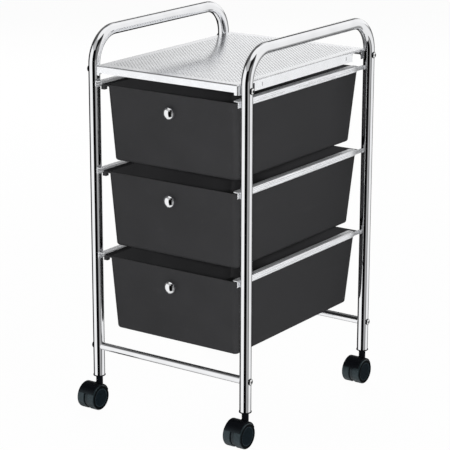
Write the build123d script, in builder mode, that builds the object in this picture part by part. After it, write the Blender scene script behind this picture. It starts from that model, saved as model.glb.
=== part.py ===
from build123d import *
import os
from math import sqrt

# Three-drawer rolling storage cart. Two bent tube side frames are tied by a pressed sheet shelf and two
# cross tubes. They carry three tapered plastic drawers in channel rails and stand on twin-wheel casters.
# Millimetres, +Z up, the drawers open towards -Y. The origin is on the floor, under the outline's middle.

# Side frames: one bent tube each, two legs and a handle bar
tube_d = 19.0
tube_wall = 1.2
leg_pitch_x = 297.0
leg_pitch_y = 363.5
leg_over_wheel = 12.5
handle_rise = 50.6
hoop_bend_r = 52.0

# Drawer rails: channels welded to flats pressed into the inner sides of the legs
rail_base_z = 261.4
rail_pitch_z = 143.7
rail_h = 11.0
rail_depth = 11.0
rail_t = 1.0
rail_bend_r = 1.6
rail_corner_r = 4.0
rail_nose = 9.0
rail_cutback = 22.0
rail_tongue_h = 7.0
rail_tongue_past = 6.0
rail_tongue_lap = 8.0
rail_flat_depth = 0.3
rail_flat_margin = 1.0
weld_gap = 0.05

# Drawers: tapered tubs hung in the rails by their side flanges
drawer_depth = 126.0
drawer_wall = 2.2
drawer_floor = 2.6
drawer_corner_r = 8.0
drawer_floor_r = 5.0
drawer_setback = 3.0
drawer_past_rear = 6.5
drawer_taper_side = 4.5
drawer_taper_front = 11.0
drawer_taper_rear = 19.5
drawer_rail_gap = 2.25
flange_t = 2.6
flange_side_gap = 0.75
flange_slide_gap = 0.35
lug_w = 7.0
lug_len = 7.0
lug_drop = 6.0
lug_stop_gap = 0.5
lug_inset = 0.4
flange_corner_r = 5.0

# Drawer knobs and the screws that hold them
knob_drop = 30.1
knob_d = 21.0
knob_head_h = 8.5
knob_neck_d = 10.0
knob_neck_h = 5.0
knob_rim_h = 5.0
knob_edge_r = 1.6
knob_dimple_d = 8.0
knob_dimple_depth = 1.5
knob_seat_gap = 0.1
knob_screw_d = 3.0
knob_screw_gap = 0.2
knob_screw_head_d = 7.0
knob_screw_head_h = 2.2
knob_thread_len = 7.0

# Shelf: a pressed tray, open underneath, with corner lugs that take the screws
shelf_rise = 36.2
shelf_t = 1.0
shelf_side_h = 16.0
shelf_end_h = 12.0
shelf_bend_r = 3.0
shelf_corner_r = 4.0
shelf_nose = 9.0
shelf_lug_w = 18.0
shelf_relief_len = 28.0
shelf_end_lug_w = 8.0
shelf_bead_r = 0.8
shelf_bead_len = 6.0
shelf_bead_inset = 57.0
shelf_screw_drop = 8.3
seat_gap = 0.1

# Cross tubes low on the legs, with a threaded insert in each end
cross_tube_d = 12.7
cross_tube_wall = 1.0
cross_tube_rise = 51.2
insert_len = 14.0

# Frame screws and nuts
screw_d = 5.0
screw_gap = 0.2
screw_head_d = 11.0
screw_head_h = 3.0
screw_head_rim = 0.8
screw_past_nut = 1.5
screw_bite = 10.0
socket_drive_d = 4.4
socket_drive_depth = 1.6
nut_flats = 8.0
nut_t = 4.0

# Casters: socket in the leg, stem, swivelling housing, axle and two wheels
wheel_d = 42.5
wheel_w = 14.8
wheel_shoulder_r = 2.5
wheel_inner_chamfer = 1.2
wheel_rim_t = 3.6
wheel_web_t = 3.4
wheel_hub_d = 12.0
wheel_dish_d = 33.0
wheel_dish_depth = 0.9
wheel_cap_t = 2.6
wheel_gap = 0.45
caster_trail = 18.0
web_t = 5.0
web_root_d = 10.0
web_inset = 2.0
axle_d = 6.0
axle_end_gap = 0.5
running_gap = 0.05
hood_gap = 0.8
hood_t = 1.6
hood_w = 30.0
hood_start = 20.0
hood_sweep = 133.0
neck_d = 11.4
neck_floor = 1.2
swivel_gap = 0.5
stem_d = 8.0
stem_groove_d = 7.0
stem_groove_w = 2.0
stem_groove_drop = 4.0
stem_end_gap = 0.4
plug_len = 26.0
plug_gap = 0.05
collar_d = 20.6
collar_rim = 1.4
collar_h = 3.6
collar_foot_d = 12.6

# Values worked out from the sizes above
tube_r = tube_d / 2
wheel_r = wheel_d / 2
leg_bottom_z = wheel_d + leg_over_wheel
leg_x = leg_pitch_x / 2
mid_y = (caster_trail + wheel_r - collar_d / 2) / 2
front_y = mid_y - leg_pitch_y / 2
rear_y = mid_y + leg_pitch_y / 2
sides = {"left": -1, "right": 1}
ends = {"front": front_y, "rear": rear_y}
levels = {"bottom": rail_base_z, "middle": rail_base_z + rail_pitch_z, "top": rail_base_z + 2 * rail_pitch_z}
shelf_top_z = levels["top"] + shelf_rise
handle_axis_z = shelf_top_z + handle_rise
leg_inner_x = leg_x - tube_r
leg_outer_x = leg_x + tube_r
flat_x = leg_inner_x + rail_flat_depth
rail_x = flat_x - weld_gap
rail_lip_x = rail_x - rail_depth
rail_front_y = front_y - rail_nose
rail_rear_y = rear_y - rail_cutback
flange_half = rail_x - rail_t - flange_side_gap
drawer_front_y = front_y + drawer_setback
drawer_rear_y = rear_y + drawer_past_rear
drawer_half = rail_lip_x - drawer_rail_gap
lug_front_y = drawer_front_y + lug_inset
rail_lip_start_y = lug_front_y + lug_len + lug_stop_gap
shelf_half_x = leg_inner_x - seat_gap
shelf_half_y = leg_pitch_y / 2 + shelf_nose
shelf_screw_z = shelf_top_z - shelf_screw_drop
cross_z = leg_bottom_z + cross_tube_rise
screw_hole_r = screw_d / 2 + screw_gap
axle_r = axle_d / 2
neck_top_z = leg_bottom_z - collar_h - swivel_gap
hood_inner_r = wheel_r + hood_gap
stem_bore_r = stem_d / 2 + running_gap
stem_bore_reach = caster_trail - stem_bore_r
stem_bore_z = wheel_r + sqrt(hood_inner_r**2 - stem_bore_reach**2) + neck_floor

os.makedirs("parts", exist_ok=True)


def save(piece, name):
    """Label a finished piece and write it as its own STEP file."""
    piece.part.label = name
    export_step(piece.part, f"parts/{name}.step")


def drawer_section(below_rim, inset):
    """Return the width, length and middle y of the tub's plan at a depth below its rim, with an inset."""
    share = below_rim / drawer_depth
    half = drawer_half - drawer_taper_side * share - inset
    front = drawer_front_y + drawer_taper_front * share + inset
    rear = drawer_rear_y - drawer_taper_rear * share - inset
    return 2 * half, rear - front, (front + rear) / 2


def rim_height(rail_z):
    """Return the height of a drawer's rim, whose flange lies just clear of the rail's lower lip."""
    return rail_z + rail_t + flange_slide_gap + flange_t


def knob_plane(rail_z):
    """Return the plane on a drawer's sloping front wall, at the knob, with its normal pointing outwards."""
    y = drawer_front_y + drawer_taper_front * knob_drop / drawer_depth
    normal = Vector(0, -drawer_depth, -drawer_taper_front).normalized()
    return Plane(origin=(0, y, rim_height(rail_z) - knob_drop), x_dir=(1, 0, 0), z_dir=normal)


# Side frame hoops: tube bent round the handle, pressed flat at the rails and drilled for the screws
for side, sign in sides.items():
    hoop_x = sign * leg_x
    with BuildPart() as hoop:
        with BuildLine(Plane.YZ.offset(hoop_x)):
            FilletPolyline(
                (front_y, leg_bottom_z),
                (front_y, handle_axis_z),
                (rear_y, handle_axis_z),
                (rear_y, leg_bottom_z),
                radius=hoop_bend_r,
            )
        with BuildSketch(Plane.XY.offset(leg_bottom_z)):
            with Locations((hoop_x, front_y)):
                Circle(tube_r)
                Circle(tube_r - tube_wall, mode=Mode.SUBTRACT)
        sweep()
        press_x = sign * (flat_x - tube_wall / 2)
        with Locations(*[(press_x, y, z + rail_h / 2) for y in ends.values() for z in levels.values()]):
            Box(tube_wall, tube_d, rail_h + 2 * rail_flat_margin, mode=Mode.SUBTRACT)
        for z in (cross_z, shelf_screw_z):
            with Locations(*[Location((hoop_x, y, z), (0, 90, 0)) for y in ends.values()]):
                Hole(screw_hole_r)
    save(hoop, f"{side}_hoop")

# Drawer rails: channel open towards the drawer, with a mouth at the front and a welded tongue at the rear
for side, sign in sides.items():
    for level, rail_z in levels.items():
        with BuildPart() as rail:
            with BuildSketch(Plane.XZ.offset(-rail_front_y)) as channel:
                with Locations((sign * (rail_x - rail_depth / 2), rail_z + rail_h / 2)):
                    Rectangle(rail_depth, rail_h)
                fillet(channel.vertices().filter_by(lambda v: abs(v.X) > rail_x - rail_t), rail_bend_r)
                with Locations((sign * (rail_x - rail_t - rail_depth / 2), rail_z + rail_h / 2)):
                    Rectangle(rail_depth, rail_h - 2 * rail_t, mode=Mode.SUBTRACT)
            extrude(amount=rail_front_y - rail_rear_y)
            mouth_len = rail_lip_start_y - rail_front_y
            with Locations((sign * (rail_x - rail_t - rail_depth / 2), rail_front_y + mouth_len / 2, rail_z)):
                Box(rail_depth, mouth_len, 2 * rail_t, mode=Mode.SUBTRACT)
            upright = rail.edges().filter_by(Axis.Z)
            fillet(upright.filter_by(lambda e: abs(e.center().X) < rail_lip_x + rail_t), rail_corner_r)
            tongue_start_y = rail_rear_y - rail_tongue_lap
            tongue_end_y = rear_y + rail_tongue_past
            with BuildSketch(Plane.YZ.offset(sign * rail_x)):
                with Locations(((tongue_start_y + tongue_end_y) / 2, rail_z + rail_h / 2)):
                    Rectangle(tongue_end_y - tongue_start_y, rail_tongue_h)
            extrude(amount=-sign * rail_t)
        save(rail, f"{side}_{level}_rail")

# Shelf: drawn tray with shorter front and rear flanges, corner lugs, reliefs beside the lugs and side beads
with BuildPart() as shelf:
    with BuildSketch(Plane.XY.offset(shelf_top_z)):
        with Locations((0, mid_y)):
            RectangleRounded(2 * shelf_half_x, 2 * shelf_half_y, shelf_corner_r)
    extrude(amount=-shelf_side_h)
    fillet(shelf.faces().sort_by(Axis.Z)[-1].edges(), shelf_bend_r)
    offset(amount=-shelf_t, openings=shelf.faces().sort_by(Axis.Z)[0])
    shelf_bottom_z = shelf_top_z - shelf_side_h
    end_trim = shelf_side_h - shelf_end_h
    with Locations((0, mid_y, shelf_bottom_z + end_trim / 2)):
        Box(2 * (shelf_half_x - shelf_end_lug_w), 3 * shelf_half_y, end_trim, mode=Mode.SUBTRACT)
    relief_h = shelf_side_h - shelf_bend_r
    relief_y = shelf_half_y - shelf_lug_w - shelf_relief_len / 2
    with Locations(*[(0, mid_y + turn * relief_y, shelf_bottom_z + relief_h / 2) for turn in (-1, 1)]):
        Box(3 * shelf_half_x, shelf_relief_len, relief_h, mode=Mode.SUBTRACT)
    with Locations(*[Location((0, y, shelf_screw_z), (0, 90, 0)) for y in ends.values()]):
        Hole(screw_hole_r)
    bead_z = shelf_top_z - shelf_side_h / 2
    beads = [
        (sign * shelf_half_x, mid_y + turn * (leg_pitch_y / 2 - shelf_bead_inset), bead_z)
        for sign in sides.values()
        for turn in (-1, 1)
    ]
    with Locations(*beads):
        Cylinder(shelf_bead_r, shelf_bead_len)
save(shelf, "shelf_panel")

# Cross tubes: their ends are coped to sit round the legs
for end, y in ends.items():
    with BuildPart() as cross_tube:
        with BuildSketch(Plane.YZ.offset(-leg_x)):
            with Locations((y, cross_z)):
                Circle(cross_tube_d / 2)
                Circle(cross_tube_d / 2 - cross_tube_wall, mode=Mode.SUBTRACT)
        extrude(amount=leg_pitch_x)
        with Locations((-leg_x, y, cross_z), (leg_x, y, cross_z)):
            Cylinder(tube_r + seat_gap, 2 * cross_tube_d, mode=Mode.SUBTRACT)
    save(cross_tube, f"{end}_cross_tube")

# Threaded inserts in the ends of the cross tubes
with BuildPart() as inserts:
    insert_x = leg_inner_x - seat_gap - insert_len / 2
    places = [Location((s * insert_x, y, cross_z), (0, 90, 0)) for s in sides.values() for y in ends.values()]
    with Locations(*places):
        Cylinder(cross_tube_d / 2 - cross_tube_wall - plug_gap, insert_len)
        Cylinder(screw_d / 2 + plug_gap, insert_len, mode=Mode.SUBTRACT)
save(inserts, "cross_tube_inserts")

# Frame screws: domed heads with a hex socket on the outer sides of the legs
through_leg = tube_d + weld_gap + seat_gap
screw_sets = {
    "shelf_screws": (shelf_screw_z, through_leg + shelf_t + nut_t + screw_past_nut),
    "cross_tube_screws": (cross_z, through_leg + screw_bite),
}
for name, (z, reach) in screw_sets.items():
    with BuildPart() as screw:
        with BuildSketch(Plane.XZ):
            with BuildLine():
                dome = TangentArc((0, screw_head_h), (screw_head_d / 2, screw_head_rim), tangent=(1, 0))
                shank = [(screw_head_d / 2, 0), (screw_d / 2, 0), (screw_d / 2, -reach), (0, -reach)]
                Polyline(dome @ 1, *shank, dome @ 0)
            make_face()
        revolve(axis=Axis.Z)
        with BuildSketch(Plane.XY.offset(screw_head_h)):
            RegularPolygon(socket_drive_d / 2, 6)
        extrude(amount=-socket_drive_depth, mode=Mode.SUBTRACT)
    with BuildPart() as screws:
        head_x = leg_outer_x + weld_gap
        places = [Location((s * head_x, y, z), (0, s * 90, 0)) for s in sides.values() for y in ends.values()]
        with Locations(*places):
            add(screw.part)
    save(screws, name)

# Nuts behind the shelf's corner lugs
with BuildPart() as nuts:
    nut_x = shelf_half_x - shelf_t - weld_gap
    for sign in sides.values():
        for y in ends.values():
            seat = Plane(origin=(sign * nut_x, y, shelf_screw_z), x_dir=(0, 1, 0), z_dir=(-sign, 0, 0))
            with BuildSketch(seat):
                RegularPolygon(nut_flats / 2, 6, major_radius=False)
                Circle(screw_d / 2 + plug_gap, mode=Mode.SUBTRACT)
    extrude(amount=nut_t)
save(nuts, "shelf_nuts")

# Knob: a turned mushroom head with a dimple, on a neck threaded from behind, with its axis along +Z
with BuildPart() as knob:
    with BuildSketch(Plane.XZ) as knob_section:
        with BuildLine():
            under_z = knob_seat_gap + knob_neck_h
            face_z = under_z + knob_head_h
            dimple_edge = (knob_dimple_d / 2, face_z)
            dimple = TangentArc((0, face_z - knob_dimple_depth), dimple_edge, tangent=(1, 0))
            dome = TangentArc(dimple_edge, (knob_d / 2, under_z + knob_rim_h), tangent=(1, 0))
            neck = [(knob_d / 2, under_z), (knob_neck_d / 2, under_z), (knob_neck_d / 2, knob_seat_gap)]
            Polyline(dome @ 1, *neck, (0, knob_seat_gap), dimple @ 0)
        make_face()
        fillet(knob_section.vertices().sort_by(Axis.X)[-2:], knob_edge_r)
    revolve(axis=Axis.Z)
    with Locations((0, 0, knob_seat_gap)):
        Cylinder(
            knob_screw_d / 2 + plug_gap,
            knob_thread_len + knob_screw_gap,
            align=(Align.CENTER, Align.CENTER, Align.MIN),
            mode=Mode.SUBTRACT,
        )

# Knob screw: a pan head inside the drawer, with its shank along +Z through the front wall
with BuildPart() as knob_screw:
    with BuildSketch(Plane.XY.offset(-drawer_wall - knob_seat_gap)):
        Circle(knob_screw_head_d / 2)
    extrude(amount=-knob_screw_head_h)
    fillet(knob_screw.edges().group_by(Axis.Z)[0], knob_screw_head_h / 2)
    with BuildSketch(Plane.XY.offset(-drawer_wall - knob_seat_gap)):
        Circle(knob_screw_d / 2)
    extrude(amount=drawer_wall + 2 * knob_seat_gap + knob_thread_len)

# Drawers with their knobs: a tapered tub, a rim flange that runs in the rails and two stop lugs under it
for level, rail_z in levels.items():
    rim_z = rim_height(rail_z)
    with BuildPart() as drawer:
        for below_rim in (drawer_depth, 0):
            width, length, y = drawer_section(below_rim, 0)
            with BuildSketch(Plane.XY.offset(rim_z - below_rim)):
                with Locations((0, y)):
                    RectangleRounded(width, length, drawer_corner_r)
        loft()
        fillet(drawer.edges().group_by(Axis.Z)[0], drawer_floor_r)
        with BuildSketch(Plane.XY.offset(rim_z)):
            with Locations((0, (drawer_front_y + drawer_rear_y) / 2)):
                RectangleRounded(2 * flange_half, drawer_rear_y - drawer_front_y, flange_corner_r)
        extrude(amount=-flange_t)
        for below_rim in (drawer_depth - drawer_floor, -drawer_floor):
            width, length, y = drawer_section(below_rim, drawer_wall)
            with BuildSketch(Plane.XY.offset(rim_z - below_rim)):
                with Locations((0, y)):
                    RectangleRounded(width, length, drawer_corner_r - drawer_wall)
        loft(mode=Mode.SUBTRACT)
        level_faces = drawer.faces().filter_by(Plane.XY).sort_by(Axis.Z)
        fillet(level_faces[1].edges(), drawer_floor_r - drawer_wall)
        lug_x = flange_half - lug_w / 2
        lug_y = lug_front_y + lug_len / 2
        lug_z = rim_z - flange_t - lug_drop / 2
        with Locations((-lug_x, lug_y, lug_z), (lug_x, lug_y, lug_z)):
            Box(lug_w, lug_len, lug_drop)
        with Locations(knob_plane(rail_z)):
            Cylinder(knob_screw_d / 2 + knob_screw_gap, 4 * drawer_wall, mode=Mode.SUBTRACT)
    save(drawer, f"{level}_drawer")
    for name, piece in {"knob": knob, "knob_screw": knob_screw}.items():
        with BuildPart() as placed:
            with Locations(knob_plane(rail_z)):
                add(piece.part)
        save(placed, f"{level}_{name}")

# Caster socket: a plug in the end of the leg, with a flared collar under it, round the stem's axis
with BuildPart() as socket:
    with BuildSketch(Plane.XZ):
        with BuildLine():
            plug_r = tube_r - tube_wall - plug_gap
            collar_top_z = leg_bottom_z - weld_gap
            bore_r = stem_d / 2 + plug_gap
            flare_end = (collar_d / 2, collar_top_z - collar_rim)
            flare = TangentArc((collar_foot_d / 2, leg_bottom_z - collar_h), flare_end, tangent=(0, 1))
            plug = [(collar_d / 2, collar_top_z), (plug_r, collar_top_z), (plug_r, leg_bottom_z + plug_len)]
            bore = [(bore_r, leg_bottom_z + plug_len), (bore_r, leg_bottom_z - collar_h)]
            Polyline(flare @ 1, *plug, *bore, flare @ 0)
        make_face()
    revolve(axis=Axis.Z)

# Caster stem: a plain pin with a grip groove near its top
with BuildPart() as stem:
    stem_top_z = leg_bottom_z + plug_len
    with BuildSketch(Plane.XY.offset(stem_bore_z + stem_end_gap)):
        Circle(stem_d / 2)
    extrude(amount=stem_top_z - stem_bore_z - stem_end_gap)
    with BuildSketch(Plane.XY.offset(stem_top_z - stem_groove_drop)):
        Circle(stem_d / 2)
        Circle(stem_groove_d / 2, mode=Mode.SUBTRACT)
    extrude(amount=-stem_groove_w, mode=Mode.SUBTRACT)

# Caster housing: neck over the stem, hood over the wheels and a web between them that holds the axle
with BuildPart() as housing:
    with BuildSketch(Plane.XY.offset(wheel_r)):
        Circle(neck_d / 2)
    extrude(amount=neck_top_z - wheel_r)
    with BuildSketch(Plane.YZ):
        with BuildLine():
            inside = CenterArc((-caster_trail, wheel_r), hood_inner_r, hood_start, hood_sweep)
            outside = CenterArc((-caster_trail, wheel_r), hood_inner_r + hood_t, hood_start, hood_sweep)
            Line(inside @ 0, outside @ 0)
            Line(inside @ 1, outside @ 1)
        make_face()
    extrude(amount=hood_w / 2, both=True)
    with Locations(Location((0, -caster_trail, wheel_r), (0, 90, 0))):
        Cylinder(hood_inner_r, 2 * hood_w, mode=Mode.SUBTRACT)
    with BuildSketch(Plane.YZ):
        with Locations((-caster_trail, wheel_r)):
            Circle(wheel_r - web_inset)
        with Locations((0, stem_bore_z)):
            Circle(web_root_d / 2)
        make_hull()
    extrude(amount=web_t / 2, both=True)
    with BuildSketch(Plane.XY.offset(neck_top_z)):
        Circle(stem_bore_r)
    extrude(amount=stem_bore_z - neck_top_z, mode=Mode.SUBTRACT)
    with Locations(Location((0, -caster_trail, wheel_r), (0, 90, 0))):
        Cylinder(axle_r + plug_gap, 2 * web_t, mode=Mode.SUBTRACT)

# Caster axle: fixed in the web, a running fit in both wheels
wheel_inner_x = web_t / 2 + wheel_gap
wheel_bore_end = wheel_w - wheel_cap_t
with BuildPart() as axle:
    with BuildSketch(Plane.YZ):
        with Locations((-caster_trail, wheel_r)):
            Circle(axle_r)
    extrude(amount=wheel_inner_x + wheel_bore_end - axle_end_gap, both=True)

# Caster wheel: a cup with a hub inside, rounded tread shoulder and a dished outer face, on the +X side
with BuildPart() as wheel:
    axle_plane = Plane(origin=(wheel_inner_x, -caster_trail, wheel_r), x_dir=(1, 0, 0), z_dir=(0, 0, 1))
    with BuildSketch(axle_plane) as section:
        with BuildLine():
            bore_r = axle_r + running_gap
            hub_r = wheel_hub_d / 2
            cup_r = wheel_r - wheel_rim_t
            cup_x = wheel_w - wheel_dish_depth - wheel_web_t
            dish_r = wheel_dish_d / 2
            dish_x = wheel_w - wheel_dish_depth
            inner_side = [(0, bore_r), (0, hub_r), (cup_x, hub_r), (cup_x, cup_r), (0, cup_r)]
            tread = [(0, wheel_r - wheel_inner_chamfer), (wheel_inner_chamfer, wheel_r), (wheel_w, wheel_r)]
            outer_side = [(wheel_w, dish_r), (dish_x, dish_r - wheel_dish_depth), (dish_x, 0)]
            bore_end = [(wheel_bore_end, 0), (wheel_bore_end, bore_r)]
            Polyline(*inner_side, *tread, *outer_side, *bore_end, close=True)
        make_face()
        fillet(section.vertices().sort_by(SortBy.DISTANCE)[-1], wheel_shoulder_r)
    revolve(axis=Axis((0, -caster_trail, wheel_r), (1, 0, 0)))
with BuildPart() as mirrored_wheel:
    add(mirror(wheel.part, about=Plane.YZ, mode=Mode.PRIVATE))

# The same caster stands under each leg, trailing towards the front
caster_pieces = {
    "socket": socket,
    "stem": stem,
    "housing": housing,
    "axle": axle,
    "right_wheel": wheel,
    "left_wheel": mirrored_wheel,
}
for end, y in ends.items():
    for side, sign in sides.items():
        for name, piece in caster_pieces.items():
            with BuildPart() as placed:
                with Locations((sign * leg_x, y)):
                    add(piece.part)
            save(placed, f"{end}_{side}_{name}")
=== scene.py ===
"""Looks of the three-drawer rolling storage cart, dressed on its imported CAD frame.

Most CAD nodes keep their shapes and get node materials. Two kinds are replaced: the pressed shelf, by a
copy with its field of holes punched through, and the three knobs, by rounder domes. Lengths are in
metres, and angles in degrees.
"""

import logging
import math
from abc import ABC, abstractmethod
from dataclasses import dataclass, field
from enum import Enum
from functools import reduce
from typing import Any

import bmesh
import bpy
from mathutils import Matrix, Vector


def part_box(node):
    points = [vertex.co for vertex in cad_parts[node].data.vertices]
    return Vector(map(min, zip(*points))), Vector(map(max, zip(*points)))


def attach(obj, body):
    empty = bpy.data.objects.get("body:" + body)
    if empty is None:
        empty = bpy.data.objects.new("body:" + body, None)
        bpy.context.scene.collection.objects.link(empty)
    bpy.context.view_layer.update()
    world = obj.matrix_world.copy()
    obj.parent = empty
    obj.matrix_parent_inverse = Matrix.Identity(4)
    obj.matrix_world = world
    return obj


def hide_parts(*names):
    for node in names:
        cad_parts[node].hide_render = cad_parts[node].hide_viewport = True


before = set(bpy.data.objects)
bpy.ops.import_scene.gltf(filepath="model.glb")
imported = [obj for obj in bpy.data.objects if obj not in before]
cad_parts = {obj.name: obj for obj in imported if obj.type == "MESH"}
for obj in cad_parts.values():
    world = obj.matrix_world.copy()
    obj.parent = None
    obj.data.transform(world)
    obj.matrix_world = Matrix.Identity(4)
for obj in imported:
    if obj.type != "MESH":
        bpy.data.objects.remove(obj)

LOG = logging.getLogger("cart")
MM = 0.001
QUARTER_TURN = 90.0
HALF_TURN = 180.0
FULL_TURN = 360.0

Span = tuple[float, float]
Stretch = tuple[float, float, float]
Colour = tuple[float, float, float, float]
# A stop of a colour ramp is its place, from 0 to 1, and its colour.
Stop = tuple[float, Colour]
Socket = bpy.types.NodeSocket
Mesh = bmesh.types.BMesh

# Most of a noise texture's values lie in this span.
NOISE_SPAN: Span = (0.3, 0.7)
NYLON_SHEEN: Colour = (0.72, 0.92, 1.0, 1.0)
WHITE: Colour = (1.0, 1.0, 1.0, 1.0)


class Level(Enum):
    """The three drawer levels, lowest first."""

    BOTTOM = "bottom"
    MIDDLE = "middle"
    TOP = "top"


class Side(Enum):
    """The two sides of the cart as its user faces it."""

    LEFT = "left"
    RIGHT = "right"


class Corner(Enum):
    """The four legs, each with a caster under it."""

    FRONT_LEFT = "front_left"
    FRONT_RIGHT = "front_right"
    REAR_LEFT = "rear_left"
    REAR_RIGHT = "rear_right"


class ScrewRow(Enum):
    """The two groups of screws in the legs."""

    SHELF = "shelf_screws"
    CROSS_TUBE = "cross_tube_screws"


class PanelRow(Enum):
    """The rows of panels in the studio, lowest first."""

    LOW = "low"
    WALL = "wall"
    BEAM = "beam"
    RING = "ring"


class Coat(Enum):
    """The finishes of the cart, by the record's material slots."""

    TUBE = "chrome_tube"
    SHEET = "chrome_sheet"
    RAIL = "rail_sheet"
    SCREW = "chrome_screw"
    KNOB = "chrome_knob"
    STEEL = "zinc_steel"
    DRAWER = "drawer_plastic"
    CASTER = "caster_plastic"
    WHEEL = "wheel_plastic"


def grey(shade: float) -> Colour:
    """Returns an opaque grey of that linear shade."""
    return (shade, shade, shade, 1.0)


def toned(colour: Colour, share: float) -> Colour:
    """Returns the colour with its three channels multiplied by the share."""
    return (colour[0] * share, colour[1] * share, colour[2] * share, colour[3])


@dataclass(frozen=True)
class Grain:
    """A noise pattern: its features per metre, its octaves of finer noise and how it is stretched."""

    scale: float
    octaves: float
    stretch: Stretch | None = None


@dataclass(frozen=True)
class Relief:
    """How a pattern stands out: how much of it shows, and the depth that a height of 1 stands for."""

    strength: float
    depth: float


class NodeGraph:
    """A node tree with short calls that add nodes and join them."""

    def __init__(self, tree: bpy.types.NodeTree) -> None:
        """Starts from an emptied tree.

        Args:
            tree: the node tree of a material or of the world.
        """
        self.tree = tree
        tree.nodes.clear()

    def add(self, kind: str, sockets: dict[Any, Any] | None = None, **settings: Any) -> bpy.types.Node:
        """Adds a node and fills its inputs.

        Args:
            kind: the node's type, without the ShaderNode in front.
            sockets: values or output sockets, by the input's name or number.
            **settings: the node's own properties.

        Returns:
            The new node.
        """
        node = self.tree.nodes.new("ShaderNode" + kind)
        for key, value in settings.items():
            setattr(node, key, value)
        for key, value in (sockets or {}).items():
            self.fill(node.inputs[key], value)
        return node

    def fill(self, target: Socket, value: Any) -> None:
        """Joins an output socket to an input, or sets the input to a plain value."""
        if isinstance(value, Socket):
            self.tree.links.new(value, target)
        else:
            target.default_value = value

    def object_place(self) -> Socket:
        """Returns the Object coordinates, which are the row frame's metres."""
        return self.add("TexCoord").outputs["Object"]

    def noise(self, place: Socket, grain: Grain) -> Socket:
        """Adds a noise texture.

        Args:
            place: the coordinates it is laid on.
            grain: the pattern.

        Returns:
            The noise value, about 0.5 on average.
        """
        if grain.stretch:
            place = self.add("Mapping", {"Vector": place, "Scale": grain.stretch}).outputs["Vector"]
        sockets = {"Vector": place, "Scale": grain.scale, "Detail": grain.octaves}
        return self.add("TexNoise", sockets).outputs["Fac"]

    def math(self, operation: str, *values: Any) -> Socket:
        """Adds a Math node.

        Args:
            operation: the Math node's operation.
            *values: numbers or sockets, in the node's order.

        Returns:
            The result.
        """
        return self.add("Math", dict(enumerate(values)), operation=operation).outputs[0]

    def side_reach(self, place: Socket, middles: tuple[Vector, ...], radius: float) -> Socket:
        """Measures how far a point lies from the nearest middle, as seen from the cart's side.

        Args:
            place: the point.
            middles: the middles of some round parts.
            radius: the radius of those parts.

        Returns:
            The distance as a share of the radius.
        """
        # Without its x, a point lies in the side view.
        sockets = {0: place, 1: (0.0, 1.0, 1.0)}
        flat = self.add("VectorMath", sockets, operation="MULTIPLY").outputs["Vector"]
        gaps = []
        for middle in middles:
            sockets = {0: flat, 1: (0.0, middle.y, middle.z)}
            gaps.append(self.add("VectorMath", sockets, operation="DISTANCE").outputs["Value"])
        nearest = reduce(lambda first, second: self.math("MINIMUM", first, second), gaps)
        return self.math("DIVIDE", nearest, radius)

    def spread(self, value: Socket, result: Span, source: Span = NOISE_SPAN) -> Socket:
        """Maps a value from one span to another.

        Args:
            value: the value to map.
            result: what comes out at the two ends of the source.
            source: the span of the value that is mapped.

        Returns:
            The mapped value, held inside the result's span.
        """
        sockets = {
            "Value": value,
            "From Min": source[0],
            "From Max": source[1],
            "To Min": result[0],
            "To Max": result[1],
        }
        return self.add("MapRange", sockets).outputs["Result"]

    def ramp(self, value: Socket, stops: list[Stop]) -> Socket:
        """Adds a colour ramp.

        Args:
            value: what the ramp reads.
            stops: places from 0 to 1, in order, with their colours.

        Returns:
            The ramp's colour.
        """
        node = self.add("ValToRGB", {"Fac": value})
        elements = node.color_ramp.elements
        for place, _ in stops[len(elements):]:
            elements.new(place)
        for element, (place, colour) in zip(elements, stops):
            element.position = place
            element.color = colour
        return node.outputs["Color"]

    def two_tone(self, value: Socket, first: Colour, second: Colour, source: Span = NOISE_SPAN) -> Socket:
        """Adds a ramp from one colour to another over a span of the value and returns the colour."""
        return self.ramp(value, [(source[0], first), (source[1], second)])

    def mix(self, share: Any, first: Any, second: Any) -> Socket:
        """Mixes two colours by a share of the second one and returns the colour."""
        node = self.add("Mix", data_type="RGBA")
        values = {"Factor_Float": share, "A_Color": first, "B_Color": second}
        for socket in node.inputs:
            if socket.identifier in values:
                self.fill(socket, values[socket.identifier])
        return next(socket for socket in node.outputs if socket.identifier == "Result_Color")

    def bump(self, height: Socket, relief: Relief) -> Socket:
        """Adds a bump by a height pattern and returns the bumped normal."""
        sockets = {"Height": height, "Strength": relief.strength, "Distance": relief.depth}
        return self.add("Bump", sockets).outputs["Normal"]

    def seen(self) -> Socket:
        """Returns 1 for rays that reach the camera directly or through glass, and 0 for others."""
        ray = self.add("LightPath").outputs
        return self.math("MAXIMUM", ray["Is Camera Ray"], ray["Is Transmission Ray"])

    def finish(self, shader: Socket, kind: str = "OutputMaterial") -> None:
        """Joins the shader to the tree's output."""
        self.add(kind, {"Surface": shader})


class Finish(ABC):
    """A finish that can make its own node material."""

    @abstractmethod
    def inputs(self, graph: NodeGraph, place: Socket) -> dict[str, Any]:
        """Adds the finish's nodes.

        Args:
            graph: the material's graph.
            place: the Object coordinates.

        Returns:
            The inputs of the finish's shader, by name.
        """

    def build(self, coat: Coat) -> bpy.types.Material:
        """Makes the material.

        Args:
            coat: the slot that the finish belongs to.

        Returns:
            The new material, named for its coat.
        """
        material = bpy.data.materials.new(coat.value + "_finish")
        material.use_nodes = True
        graph = NodeGraph(material.node_tree)
        sockets = self.inputs(graph, graph.object_place())
        graph.finish(graph.add("BsdfPrincipled", sockets).outputs["BSDF"])
        return material


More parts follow.
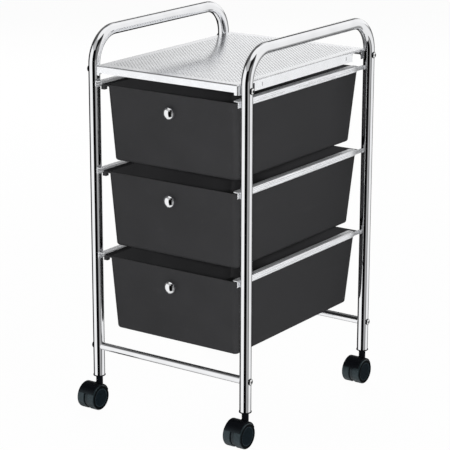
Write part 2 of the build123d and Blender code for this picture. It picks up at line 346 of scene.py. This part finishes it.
@dataclass(frozen=True)
class ChromePlate(Finish):
    """Bright chrome: a mirror with faint handling haze and fine polishing marks."""

    tint: Colour = (0.90, 0.905, 0.92, 1.0)
    cloud: float = 0.94
    metallic: float = 1.0
    roughness: float = 0.025
    haze: float = 0.03
    smudges: Grain = Grain(scale=28.0, octaves=4.0)
    cloud_source: Span = (0.3, 0.62)
    haze_source: Span = (0.5, 0.85)
    marks: Grain = Grain(scale=900.0, octaves=2.0)
    mark_relief: Relief = Relief(strength=0.05, depth=0.02 * MM)

    def inputs(self, graph: NodeGraph, place: Socket) -> dict[str, Any]:
        """Adds the chrome's nodes and returns its shader's inputs."""
        smudge = graph.noise(place, self.smudges)
        mark = graph.noise(place, self.marks)
        clouded = toned(self.tint, self.cloud)
        gloss = (self.roughness, self.roughness + self.haze)
        return {
            "Base Color": graph.two_tone(smudge, clouded, self.tint, self.cloud_source),
            "Metallic": self.metallic,
            "Roughness": graph.spread(smudge, gloss, self.haze_source),
            "Normal": graph.bump(mark, self.mark_relief),
        }


@dataclass(frozen=True)
class PaintedShadeScrew(Finish):
    """Plated screw heads: a dark disc of painted shade as a socket, a bright dome and a painted shadow
    line round the edge.

    The edges of the painted socket shade and of the painted seam shadow are shares of the head's radius.
    """

    middles: tuple[Vector, ...]
    radius: float
    tint: Colour = (0.90, 0.90, 0.90, 1.0)
    # dark is painted shade, in the socket and under the head's edge; tarnish also darkens towards it.
    dark: Colour = (0.006, 0.006, 0.007, 1.0)
    painted_socket_shade_edge: Span = (0.36, 0.44)
    painted_seam_shadow_edge: Span = (0.78, 0.88)
    roughness: float = 0.06
    haze: float = 0.08
    tarnish: float = 0.2
    swirls: Grain = Grain(scale=600.0, octaves=2.0)

    @classmethod
    def from_frame(cls) -> "PaintedShadeScrew":
        """Takes the screws' places and their heads' radius from the CAD screws."""
        middles = []
        radius = 0.0
        for row in ScrewRow:
            low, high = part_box(row.value)
            radius = (high.z - low.z) / 2
            middles.append(Vector((0.0, low.y + radius, low.z + radius)))
            middles.append(Vector((0.0, high.y - radius, low.z + radius)))
        return cls(middles=tuple(middles), radius=radius)

    def inputs(self, graph: NodeGraph, place: Socket) -> dict[str, Any]:
        """Adds the screw's nodes and returns its shader's inputs."""
        reach = graph.side_reach(place, self.middles, self.radius)
        swirl = graph.noise(place, self.swirls)
        # Painted shade: a dark socket in the middle of each head and a dark shadow line round its edge.
        rings_with_painted_light = graph.ramp(reach, [
            (self.painted_socket_shade_edge[0], self.dark),
            (self.painted_socket_shade_edge[1], self.tint),
            (self.painted_seam_shadow_edge[0], self.tint),
            (self.painted_seam_shadow_edge[1], self.dark),
        ])
        tarnished = graph.spread(swirl, (0.0, self.tarnish))
        return {
            "Base Color": graph.mix(tarnished, rings_with_painted_light, self.dark),
            "Metallic": 1.0,
            "Roughness": graph.spread(swirl, (self.roughness, self.roughness + self.haze)),
        }


@dataclass(frozen=True)
class RolledChannel(Finish):
    """Satin plating on the rolled rails: a soft grey metal with rolling lines along the channel."""

    tint: Colour = (0.86, 0.87, 0.89, 1.0)
    line: float = 0.80
    metallic: float = 0.62
    roughness: float = 0.24
    haze: float = 0.1
    lines: Grain = Grain(scale=700.0, octaves=3.0, stretch=(1.0, 0.02, 1.0))
    line_source: Span = (0.35, 0.6)
    line_relief: Relief = Relief(strength=0.15, depth=0.03 * MM)

    def inputs(self, graph: NodeGraph, place: Socket) -> dict[str, Any]:
        """Adds the channel's nodes and returns its shader's inputs."""
        lines = graph.noise(place, self.lines)
        lined = toned(self.tint, self.line)
        return {
            "Base Color": graph.two_tone(lines, lined, self.tint, self.line_source),
            "Metallic": self.metallic,
            "Roughness": graph.spread(lines, (self.roughness, self.roughness + self.haze)),
            "Normal": graph.bump(lines, self.line_relief),
        }


@dataclass(frozen=True)
class ZincPlate(Finish):
    """Zinc-plated steel of the hidden hardware: dull, with a crystalline mottle."""

    tint: Colour = (0.52, 0.54, 0.56, 1.0)
    mottle: float = 0.78
    roughness: float = 0.32
    haze: float = 0.15
    crystals: Grain = Grain(scale=320.0, octaves=2.0)
    mottle_source: Span = (0.35, 0.65)
    crystal_relief: Relief = Relief(strength=0.1, depth=0.05 * MM)

    def inputs(self, graph: NodeGraph, place: Socket) -> dict[str, Any]:
        """Adds the zinc's nodes and returns its shader's inputs."""
        crystal = graph.noise(place, self.crystals)
        mottled = toned(self.tint, self.mottle)
        return {
            "Base Color": graph.two_tone(crystal, mottled, self.tint, self.mottle_source),
            "Metallic": 1.0,
            "Roughness": graph.spread(crystal, (self.roughness, self.roughness + self.haze)),
            "Normal": graph.bump(crystal, self.crystal_relief),
        }


@dataclass(frozen=True)
class MouldedPlastic(Finish):
    """Dark plastic of the drawers: a fine moulded grain, a faint cloudiness and a few light rubs."""

    colour: Colour = (0.0282, 0.0282, 0.0295, 1.0)
    roughness: float = 0.55
    unevenness: float = 0.06
    specular: float = 0.05
    cloud: float = 0.08
    clouds: Grain = Grain(scale=14.0, octaves=5.0)
    grain: Grain = Grain(scale=1500.0, octaves=2.0)
    grain_relief: Relief = Relief(strength=0.12, depth=0.08 * MM)
    rub: float = 0.10
    rub_tone: float = 2.2
    rubs: Grain = Grain(scale=60.0, octaves=6.0, stretch=(1.0, 0.12, 1.0))
    rub_source: Span = (0.62, 0.78)

    def inputs(self, graph: NodeGraph, place: Socket) -> dict[str, Any]:
        """Adds the plastic's nodes and returns its shader's inputs."""
        cloud = graph.noise(place, self.clouds)
        grain = graph.noise(place, self.grain)
        rubbed = graph.spread(graph.noise(place, self.rubs), (0.0, self.rub), self.rub_source)
        dark, pale = toned(self.colour, 1.0 - self.cloud), toned(self.colour, 1.0 + self.cloud)
        base = graph.two_tone(cloud, dark, pale)
        gloss = (self.roughness - self.unevenness, self.roughness + self.unevenness)
        return {
            "Base Color": graph.mix(rubbed, base, toned(self.colour, self.rub_tone)),
            "Roughness": graph.spread(cloud, gloss),
            "Specular IOR Level": self.specular,
            "Normal": graph.bump(grain, self.grain_relief),
        }


@dataclass(frozen=True)
class CasterHood(Finish):
    """Black nylon of the casters: matt on top, with a cool gloss low down on the hood."""

    colour: Colour = (0.003, 0.0034, 0.0044, 1.0)
    dark_tone: float = 0.7
    pale_tone: float = 1.4
    roughness: float = 0.32
    haze: float = 0.1
    low_gloss: float = 0.5
    high_gloss: float = 0.03
    gloss_heights: Span = (27.0 * MM, 40.0 * MM)
    grain: Grain = Grain(scale=700.0, octaves=3.0)
    grain_relief: Relief = Relief(strength=0.06, depth=0.08 * MM)

    def inputs(self, graph: NodeGraph, place: Socket) -> dict[str, Any]:
        """Adds the hood's nodes and returns its shader's inputs."""
        grain = graph.noise(place, self.grain)
        height = graph.add("SeparateXYZ", {"Vector": place}).outputs["Z"]
        dark, pale = toned(self.colour, self.dark_tone), toned(self.colour, self.pale_tone)
        gloss = (self.low_gloss, self.high_gloss)
        return {
            "Base Color": graph.two_tone(grain, dark, pale),
            "Roughness": graph.spread(grain, (self.roughness, self.roughness + self.haze)),
            "Specular IOR Level": graph.spread(height, gloss, self.gloss_heights),
            "Specular Tint": NYLON_SHEEN,
            "Normal": graph.bump(grain, self.grain_relief),
        }


@dataclass(frozen=True)
class WheelWithPaintedSheen(Finish):
    """Black nylon wheels: dull faces, a painted highlight ring, and a glossy, scuffed tread with painted
    sheen.

    The hub's end, the middle of the painted highlight ring, the face's start and the tread's edge are
    shares of the radius.
    """

    axles: tuple[Vector, ...]
    radius: float
    hub: Colour = (0.004, 0.008, 0.011, 1.0)
    # edge is a painted highlight: a paler ring where the moulded edge catches light.
    edge: Colour = (0.024, 0.036, 0.044, 1.0)
    face: Colour = (0.0015, 0.002, 0.0025, 1.0)
    # tread is a painted sheen: a pale blue tone for the light that the glossy tread reflects.
    tread: Colour = (0.008, 0.012, 0.014, 1.0)
    hub_end: float = 0.66
    painted_highlight_middle: float = 0.71
    face_start: float = 0.76
    tread_edge: Span = (0.93, 0.985)
    roughness: float = 0.3
    haze: float = 0.15
    face_gloss: float = 0.015
    tread_gloss: float = 0.6
    wear: float = 0.5
    scuffs: Grain = Grain(scale=260.0, octaves=4.0)
    wear_source: Span = (0.4, 0.8)

    @classmethod
    def from_frame(cls) -> "WheelWithPaintedSheen":
        """Takes the axles' places and the wheels' radius from the CAD wheels."""
        corners = (Corner.FRONT_LEFT, Corner.REAR_LEFT)
        boxes = [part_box(f"{corner.value}_right_wheel") for corner in corners]
        axles = tuple((low + high) / 2 for low, high in boxes)
        low, high = boxes[0]
        return cls(axles=axles, radius=(high.z - low.z) / 2)

    def inputs(self, graph: NodeGraph, place: Socket) -> dict[str, Any]:
        """Adds the wheel's nodes and returns its shader's inputs."""
        reach = graph.side_reach(place, self.axles, self.radius)
        scuff = graph.noise(place, self.scuffs)
        # Painted light: a highlight ring at the moulded edge and a sheen on the tread.
        rings_with_painted_light = graph.ramp(reach, [
            (self.hub_end, self.hub),
            (self.painted_highlight_middle, self.edge),
            (self.face_start, self.face),
            (self.tread_edge[0], self.face),
            (self.tread_edge[1], self.tread),
        ])
        worn = graph.spread(scuff, (0.0, self.wear), self.wear_source)
        gloss = (self.face_gloss, self.tread_gloss)
        return {
            "Base Color": graph.mix(worn, rings_with_painted_light, self.face),
            "Roughness": graph.spread(scuff, (self.roughness, self.roughness + self.haze)),
            "Specular IOR Level": graph.spread(reach, gloss, self.tread_edge),
            "Specular Tint": NYLON_SHEEN,
        }


def cart_finishes() -> dict[Coat, Finish]:
    """Returns the finish of each coat."""
    return {
        Coat.TUBE: ChromePlate(),
        Coat.SHEET: ChromePlate(tint=(0.90, 0.91, 0.93, 1.0), metallic=0.88, roughness=0.13, haze=0.05),
        Coat.RAIL: RolledChannel(),
        Coat.SCREW: PaintedShadeScrew.from_frame(),
        Coat.KNOB: ChromePlate(roughness=0.03),
        Coat.STEEL: ZincPlate(),
        Coat.DRAWER: MouldedPlastic(),
        Coat.CASTER: CasterHood(),
        Coat.WHEEL: WheelWithPaintedSheen.from_frame(),
    }


@dataclass
class FinishRack:
    """Makes each finish once and hands it to the pieces that wear it."""

    recipes: dict[Coat, Finish] = field(default_factory=cart_finishes)
    made: dict[Coat, bpy.types.Material] = field(default_factory=dict)

    def get(self, coat: Coat) -> bpy.types.Material:
        """Returns the coat's material, made at its first use."""
        if coat not in self.made:
            self.made[coat] = self.recipes[coat].build(coat)
        return self.made[coat]

    def dress(self, node: str, coat: Coat) -> None:
        """Puts the coat on a CAD node that keeps its shape.

        Args:
            node: the CAD node's name.
            coat: the finish it wears.
        """
        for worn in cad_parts[node].material_slots:
            worn.material = self.get(coat)
        LOG.info("dressed %s in %s", node, coat.value)


def link_mesh(mesh: Mesh, name: str, material: bpy.types.Material) -> bpy.types.Object:
    """Turns a bmesh into an object.

    Args:
        mesh: the finished mesh, in the row frame. It is freed.
        name: the object's name.
        material: what it wears.

    Returns:
        The new object, at the origin, with its place in its mesh.
    """
    data = bpy.data.meshes.new(name)
    mesh.to_mesh(data)
    mesh.free()
    data.materials.append(material)
    made = bpy.data.objects.new(name, data)
    bpy.context.scene.collection.objects.link(made)
    return made


def place_piece(mesh: Mesh, name: str, coat: Coat, rack: FinishRack) -> bpy.types.Object:
    """Turns a bmesh into a piece of the cart.

    Args:
        mesh: the finished mesh, in the row frame. It is freed.
        name: the piece's name.
        coat: the finish it wears.
        rack: the finishes.

    Returns:
        The new piece.
    """
    piece = link_mesh(mesh, name, rack.get(coat))
    return piece


def whole(mesh: Mesh) -> list[Any]:
    """Returns every vertex, edge and face of the mesh."""
    return mesh.verts[:] + mesh.edges[:] + mesh.faces[:]


def open_edges(mesh: Mesh) -> list[bmesh.types.BMEdge]:
    """Returns the edges that have only one face."""
    return [edge for edge in mesh.edges if edge.is_boundary]


def drawn_out(mesh: Mesh, geom: list[Any], drop: float) -> None:
    """Extrudes faces downwards.

    Args:
        mesh: the mesh that holds them.
        geom: the faces, with their edges too where the faces themselves move.
        drop: how far the new faces lie below the old ones.
    """
    grown = bmesh.ops.extrude_face_region(mesh, geom=geom)["geom"]
    moved = [item for item in grown if isinstance(item, bmesh.types.BMVert)]
    bmesh.ops.translate(mesh, vec=(0.0, 0.0, -drop), verts=moved)


def shade_by_angle(mesh: Mesh, limit: float = 32.0) -> None:
    """Shades faces smooth and keeps the edges sharper than the limit, in degrees, as creases."""
    for face in mesh.faces:
        face.smooth = True
    for edge in mesh.edges:
        edge.smooth = edge.calc_face_angle(math.pi) < math.radians(limit)


@dataclass
class PerforatedShelf:
    """The pressed shelf, with a staggered field of holes inside a plain border.

    Faces down to top_share sheet thicknesses under the top belong to the sheet. A face that the bevel
    made is a hole if it is smaller than hole_share times the hole's own eight-sided area.
    """

    node: str = "shelf_panel"
    body: str = "frame"
    border: float = 15.0 * MM
    step: float = 3.6 * MM
    hole_radius: float = 1.3 * MM
    sheet: float = 1.0 * MM
    merge: float = 0.002 * MM
    top_share: float = 1.5
    hole_share: float = 1.2

    def field_corners(self) -> tuple[Vector, Vector]:
        """Returns the lowest and highest corner of the field of holes."""
        low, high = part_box(self.node)
        inset = Vector((self.border, self.border, 0.0))
        return low + inset, high - inset

    def pan(self) -> Mesh:
        """Copies the CAD shelf and cuts the field out of its top.

        Returns:
            The shelf's flanges, lugs and plain border.
        """
        low, high = self.field_corners()
        mesh = bmesh.new()
        mesh.from_mesh(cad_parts[self.node].data)
        bmesh.ops.remove_doubles(mesh, verts=mesh.verts, dist=self.merge)
        for corner in (low, high):
            for axis in (Vector((1, 0, 0)), Vector((0, 1, 0))):
                bmesh.ops.bisect_plane(mesh, geom=whole(mesh), plane_co=corner, plane_no=axis)
        punched = []
        for panel in mesh.faces:
            middle = panel.calc_center_median()
            across = low.x < middle.x < high.x and low.y < middle.y < high.y
            if across and middle.z > high.z - self.top_share * self.sheet:
                punched.append(panel)
        bmesh.ops.delete(mesh, geom=punched, context="FACES")
        bmesh.ops.bridge_loops(mesh, edges=open_edges(mesh))
        shade_by_angle(mesh)
        return mesh

    def holes(self) -> Mesh:
        """Makes the perforated sheet that fills the field.

        Returns:
            The sheet, with a hole at every other inner point of a square grid.
        """
        low, high = self.field_corners()
        wide, deep = high.x - low.x, high.y - low.y
        columns, rows = round(wide / self.step), round(deep / self.step)
        mesh = bmesh.new()
        # The grid is made about one unit wide and then stretched over the field.
        bmesh.ops.create_grid(mesh, x_segments=columns, y_segments=rows, size=0.5)
        span = max(v.co.x for v in mesh.verts) * 2.0
        bmesh.ops.scale(mesh, vec=(wide / span, deep / span, 1.0), verts=mesh.verts)
        middle = ((low.x + high.x) / 2, (low.y + high.y) / 2, high.z)
        bmesh.ops.translate(mesh, vec=middle, verts=mesh.verts)
        inner = []
        for point in mesh.verts:
            column = round((point.co.x - low.x) * columns / wide)
            row = round((point.co.y - low.y) * rows / deep)
            if (row + column) % 2 == 0 and 0 < row < rows and 0 < column < columns:
                inner.append(point)
        bmesh.ops.connect_verts(mesh, verts=inner)
        made = bmesh.ops.bevel(
            mesh, geom=inner, offset=self.hole_radius, offset_type="OFFSET", affect="VERTICES",
            segments=1, profile=0.5, material=-1,
        )
        octagon = 2.0 * math.sqrt(2.0) * self.hole_radius**2
        largest = self.hole_share * octagon
        punched = [f for f in made["faces"] if f.is_valid and f.calc_area() < largest]
        bmesh.ops.delete(mesh, geom=punched, context="FACES")
        drawn_out(mesh, mesh.faces[:], self.sheet)
        bmesh.ops.recalc_face_normals(mesh, faces=mesh.faces[:])
        return mesh

    def build(self, rack: FinishRack) -> None:
        """Joins the pan and its field of holes into the piece that stands for the CAD shelf.

        Args:
            rack: the finishes.
        """
        mesh = self.pan()
        sheet = self.holes()
        carrier = bpy.data.meshes.new("shelf_field")
        sheet.to_mesh(carrier)
        sheet.free()
        mesh.from_mesh(carrier)
        bpy.data.meshes.remove(carrier)
        shelf = place_piece(mesh, "perforated_shelf", Coat.SHEET, rack)
        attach(shelf, self.body)
        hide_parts(self.node)
        LOG.info("made %s with %d faces", shelf.name, len(shelf.data.polygons))


@dataclass
class TubeFrame:
    """The bent tube side frames, their rails, cross tubes and fasteners."""

    tubes: tuple[str, ...] = ("left_hoop", "right_hoop", "front_cross_tube", "rear_cross_tube")
    hidden: tuple[str, ...] = ("cross_tube_inserts", "shelf_nuts")
    shelf: PerforatedShelf = field(default_factory=PerforatedShelf)

    def build(self, rack: FinishRack) -> None:
        """Dresses the frame's nodes and makes the shelf.

        Args:
            rack: the finishes.
        """
        for node in self.tubes:
            rack.dress(node, Coat.TUBE)
        for side in Side:
            for level in Level:
                rack.dress(f"{side.value}_{level.value}_rail", Coat.RAIL)
        for row in ScrewRow:
            rack.dress(row.value, Coat.SCREW)
        for node in self.hidden:
            rack.dress(node, Coat.STEEL)
        self.shelf.build(rack)


@dataclass
class DomedKnob:
    """A polished knob: a dome with a rounded edge, on a short neck.

    It leans down with the drawer's front. Points within foot_slack of the CAD knob's end are its foot.
    """

    level: Level
    lean: float = 5.0
    neck_radius: float = 5.0 * MM
    neck_height: float = 2.0 * MM
    dome_radius: float = 11.2 * MM
    dome_height: float = 8.9 * MM
    dome_middle: float = 4.6 * MM
    foot_slack: float = 0.01 * MM
    ring_steps: int = 34
    turn_steps: int = 48

    @property
    def node(self) -> str:
        """The CAD knob's name."""
        return f"{self.level.value}_knob"

    def foot(self) -> Vector:
        """Returns the middle of the CAD knob's foot, on the drawer's front."""
        lean = math.radians(self.lean)
        out = Vector((0.0, -math.cos(lean), -math.sin(lean)))
        points = [v.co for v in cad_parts[self.node].data.vertices]
        lowest = min(point.dot(out) for point in points)
        ring = [point for point in points if point.dot(out) < lowest + self.foot_slack]
        low = Vector([min(axis) for axis in zip(*ring)])
        high = Vector([max(axis) for axis in zip(*ring)])
        return (low + high) / 2

    def build(self, rack: FinishRack) -> None:
        """Cuts the dome from a ball, draws out its neck and stands it in place of the CAD knob.

        Args:
            rack: the finishes.
        """
        mesh = bmesh.new()
        bmesh.ops.create_uvsphere(
            mesh, u_segments=self.turn_steps, v_segments=self.ring_steps, radius=self.dome_radius
        )
        bmesh.ops.scale(mesh, vec=(1.0, 1.0, self.dome_height / self.dome_radius), verts=mesh.verts)
        bmesh.ops.translate(mesh, vec=(0.0, 0.0, self.dome_middle), verts=mesh.verts)
        bmesh.ops.bisect_plane(
            mesh, geom=whole(mesh), plane_co=(0.0, 0.0, self.neck_height), plane_no=(0.0, 0.0, 1.0),
            clear_inner=True,
        )
        seat = bmesh.ops.contextual_create(mesh, geom=open_edges(mesh))["faces"]
        bmesh.ops.recalc_face_normals(mesh, faces=mesh.faces[:])
        ledge = max(v.co.xy.length for v in seat[0].verts) - self.neck_radius
        bmesh.ops.inset_region(mesh, faces=seat, thickness=ledge, use_even_offset=True)
        drawn_out(mesh, [*seat, *seat[0].edges], self.neck_height)
        turn = Matrix.Rotation(math.radians(QUARTER_TURN + self.lean), 4, "X")
        bmesh.ops.transform(mesh, matrix=Matrix.Translation(self.foot()) @ turn, verts=mesh.verts)
        shade_by_angle(mesh)
        knob = place_piece(mesh, f"{self.level.value}_domed_knob", Coat.KNOB, rack)
        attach(knob, f"{self.level.value}_drawer_unit")
        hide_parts(self.node)
        LOG.info("made %s", knob.name)


@dataclass
class DrawerUnit:
    """One drawer with its knob and the screw that holds it."""

    level: Level

    def build(self, rack: FinishRack) -> None:
        """Dresses the drawer and its screw, and makes its knob.

        Args:
            rack: the finishes.
        """
        rack.dress(f"{self.level.value}_drawer", Coat.DRAWER)
        rack.dress(f"{self.level.value}_knob_screw", Coat.STEEL)
        DomedKnob(self.level).build(rack)


@dataclass
class CasterUnit:
    """One twin-wheel caster and its socket in the leg."""

    corner: Corner

    def build(self, rack: FinishRack) -> None:
        """Dresses the socket, stem, housing, axle and wheels.

        Args:
            rack: the finishes.
        """
        name = self.corner.value
        for part in ("socket", "housing"):
            rack.dress(f"{name}_{part}", Coat.CASTER)
        for part in ("stem", "axle"):
            rack.dress(f"{name}_{part}", Coat.STEEL)
        for side in Side:
            rack.dress(f"{name}_{side.value}_wheel", Coat.WHEEL)


@dataclass(frozen=True)
class Band:
    """A stretch of the studio that bright metal mirrors, by azimuth from the camera.

    It has a shade for each row of panels: low is below the horizon, wall above it, beam over the wall
    and ring under the ceiling.
    """

    start: float
    end: float
    low: float
    wall: float
    beam: float
    ring: float


@dataclass(frozen=True)
class Lamp:
    """A soft rectangular lamp, which bright metal doesn't mirror. Its power is in watts."""

    name: str
    place: Vector
    width: float
    height: float
    power: float

    def hang(self, target: Vector) -> None:
        """Adds the lamp to the scene.

        Args:
            target: the point that it faces.
        """
        data = bpy.data.lights.new(self.name, "AREA")
        data.shape = "RECTANGLE"
        data.size = self.width
        data.size_y = self.height
        data.energy = self.power
        lamp = bpy.data.objects.new(self.name, data)
        lamp.location = self.place
        lamp.rotation_euler = (target - self.place).to_track_quat("-Z", "Y").to_euler()
        lamp.visible_glossy = False
        bpy.context.scene.collection.objects.link(lamp)


@dataclass
class Studio:
    """A white studio: soft lamps, panels for bright metal to mirror, a floor and the photograph's camera.

    The edges between the rows of panels are given by the sine of their elevation.
    """

    azimuth: float = 34.803
    elevation: float = 15.85
    roll: float = 0.113
    eye: Vector = field(default_factory=lambda: Vector((1.7411, -2.516225, 1.1697)))
    focal_pixels: float = 1898.06
    frame_pixels: float = 450.0
    sensor: float = 36.0
    clip_end: float = 120.0
    target: Vector = field(default_factory=lambda: Vector((0.0, 0.0, 0.32)))
    lamp_size: float = 2.2
    floor_half: float = 30.0
    floor_shade: float = 0.85
    floor_share: float = 0.03
    fill: float = 0.06
    mirrored_floor: float = 0.9
    floor_edge: Span = (-0.84, -0.78)
    horizon: Span = (-0.02, 0.04)
    beam_foot: Span = (0.25, 0.29)
    ring_foot: Span = (0.50, 0.54)
    ring_head: Span = (0.86, 0.90)
    # Each band has its start and end, and then the shades low, wall, beam and ring.
    bands: tuple[Band, ...] = (
        Band(-180, -179, 0.004, 0.95, 0.02, 0.10),
        Band(-176, -150, 0.004, 0.60, 0.06, 0.14),
        Band(-146, -106, 0.004, 0.02, 0.02, 0.10),
        Band(-100, -88, 0.90, 0.90, 0.90, 0.10),
        Band(-84, -38, 1.0, 1.0, 1.0, 0.50),
        Band(-36, -12, 0.002, 0.002, 0.002, 0.50),
        Band(-8, 12, 0.002, 0.002, 0.002, 0.01),
        Band(14, 22, 0.22, 0.10, 0.10, 0.01),
        Band(26, 42, 0.45, 0.20, 0.20, 0.01),
        Band(46, 58, 0.13, 0.20, 0.20, 0.05),
        Band(64, 118, 0.92, 0.95, 0.95, 0.95),
        Band(122, 134, 0.40, 1.0, 1.0, 1.0),
        Band(138, 152, 0.01, 1.0, 1.0, 1.0),
        Band(156, 160, 0.004, 1.0, 0.50, 1.0),
        Band(162, 180, 0.004, 1.0, 0.02, 0.60),
    )

    def lamps(self) -> list[Lamp]:
        """Returns the four lamps: a narrow strip at the camera and three large squares."""
        size = self.lamp_size
        return [
            Lamp("front", place=self.eye, width=0.4, height=0.04, power=108.0),
            Lamp("left", place=Vector((-1.2, -2.4, 2.6)), width=size, height=size, power=3.0),
            Lamp("right", place=Vector((2.8, 0.4, 1.8)), width=size, height=size, power=20.0),
            Lamp("rear", place=Vector((-1.9, 2.2, 1.9)), width=size, height=size, power=70.0),
        ]

    def shades(self, graph: NodeGraph, place: Socket, row: PanelRow) -> Socket:
        """Adds one row of the studio's panels.

        Args:
            graph: the world's graph.
            place: the azimuth from the camera, as a share of a full turn.
            row: the row to add.

        Returns:
            The colour of the row.
        """
        stops = []
        for band in self.bands:
            for azimuth in (band.start, band.end):
                stops.append(((azimuth + HALF_TURN) / FULL_TURN, grey(getattr(band, row.value))))
        return graph.ramp(place, stops)

    def panels(self, graph: NodeGraph) -> Socket:
        """Adds what bright metal mirrors: rows of panels under a white ceiling.

        Args:
            graph: the world's graph.

        Returns:
            The colour in each direction.
        """
        heading = graph.add("TexCoord").outputs["Generated"]
        axes = graph.add("SeparateXYZ", {"Vector": heading}).outputs
        front = graph.math("MULTIPLY", axes["Y"], -1.0)
        turn = graph.math("SUBTRACT", graph.math("ARCTAN2", axes["X"], front), math.radians(self.azimuth))
        wrapped = graph.math("WRAP", turn, math.pi, -math.pi)
        place = graph.math("MULTIPLY_ADD", wrapped, 1.0 / math.tau, HALF_TURN / FULL_TURN)
        colour = grey(self.mirrored_floor)
        feet = {
            PanelRow.LOW: self.floor_edge,
            PanelRow.WALL: self.horizon,
            PanelRow.BEAM: self.beam_foot,
            PanelRow.RING: self.ring_foot,
        }
        for row, edge in feet.items():
            share = graph.spread(axes["Z"], (0.0, 1.0), edge)
            colour = graph.mix(share, colour, self.shades(graph, place, row))
        return graph.mix(graph.spread(axes["Z"], (0.0, 1.0), self.ring_head), colour, WHITE)

    def world(self) -> None:
        """Makes the world: plain white light, and for mirrors the panels of the studio."""
        world = bpy.data.worlds.new("studio")
        bpy.context.scene.world = world
        world.use_nodes = True
        graph = NodeGraph(world.node_tree)
        plain = graph.mix(graph.seen(), grey(self.fill), WHITE)
        mirrored = graph.add("LightPath").outputs["Is Glossy Ray"]
        colour = graph.mix(mirrored, plain, self.panels(graph))
        shader = graph.add("Background", {"Color": colour, "Strength": 1.0}).outputs[0]
        graph.finish(shader, "OutputWorld")

    def floor(self) -> None:
        """Makes the pale floor, white to the camera but for the cart's soft shadow."""
        material = bpy.data.materials.new("floor_paper")
        material.use_nodes = True
        graph = NodeGraph(material.node_tree)
        paper = graph.add("BsdfDiffuse", {"Color": grey(self.floor_shade)}).outputs[0]
        glow = graph.add("Emission", {"Color": WHITE, "Strength": 1.0}).outputs[0]
        share = graph.math("MULTIPLY", graph.seen(), 1.0 - self.floor_share)
        graph.finish(graph.add("MixShader", {0: share, 1: paper, 2: glow}).outputs[0])
        mesh = bmesh.new()
        bmesh.ops.create_grid(mesh, x_segments=1, y_segments=1, size=self.floor_half)
        floor = link_mesh(mesh, "floor", material)
        floor.visible_glossy = False

    def camera(self) -> None:
        """Makes the camera at the photograph's place and angle."""
        azimuth, elevation, roll = (math.radians(v) for v in (self.azimuth, self.elevation, self.roll))
        level = math.cos(elevation)
        back = Vector((math.sin(azimuth) * level, -math.cos(azimuth) * level, math.sin(elevation)))
        right = Vector((math.cos(azimuth), math.sin(azimuth), 0.0))
        up = back.cross(right)
        rolled_right = math.cos(roll) * right + math.sin(roll) * up
        rolled_up = math.cos(roll) * up - math.sin(roll) * right
        turn = Matrix((rolled_right, rolled_up, back)).transposed().to_4x4()
        data = bpy.data.cameras.new("camera")
        data.sensor_width = self.sensor
        data.lens = self.sensor * self.focal_pixels / self.frame_pixels
        data.clip_end = self.clip_end
        camera = bpy.data.objects.new("camera", data)
        camera.matrix_world = Matrix.Translation(self.eye) @ turn
        bpy.context.scene.collection.objects.link(camera)
        bpy.context.scene.camera = camera

    def build(self) -> None:
        """Sets the view and makes the world, floor, lamps and camera."""
        bpy.context.scene.view_settings.view_transform = "Standard"
        self.world()
        self.floor()
        for lamp in self.lamps():
            lamp.hang(self.target)
        self.camera()


def main() -> None:
    """Builds the cart's looks in order."""
    logging.basicConfig(level=logging.INFO, format="%(name)s: %(message)s")
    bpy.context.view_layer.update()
    rack = FinishRack()
    TubeFrame().build(rack)
    for level in Level:
        DrawerUnit(level).build(rack)
    for corner in Corner:
        CasterUnit(corner).build(rack)
    Studio().build()


if __name__ == "__main__":
    main()
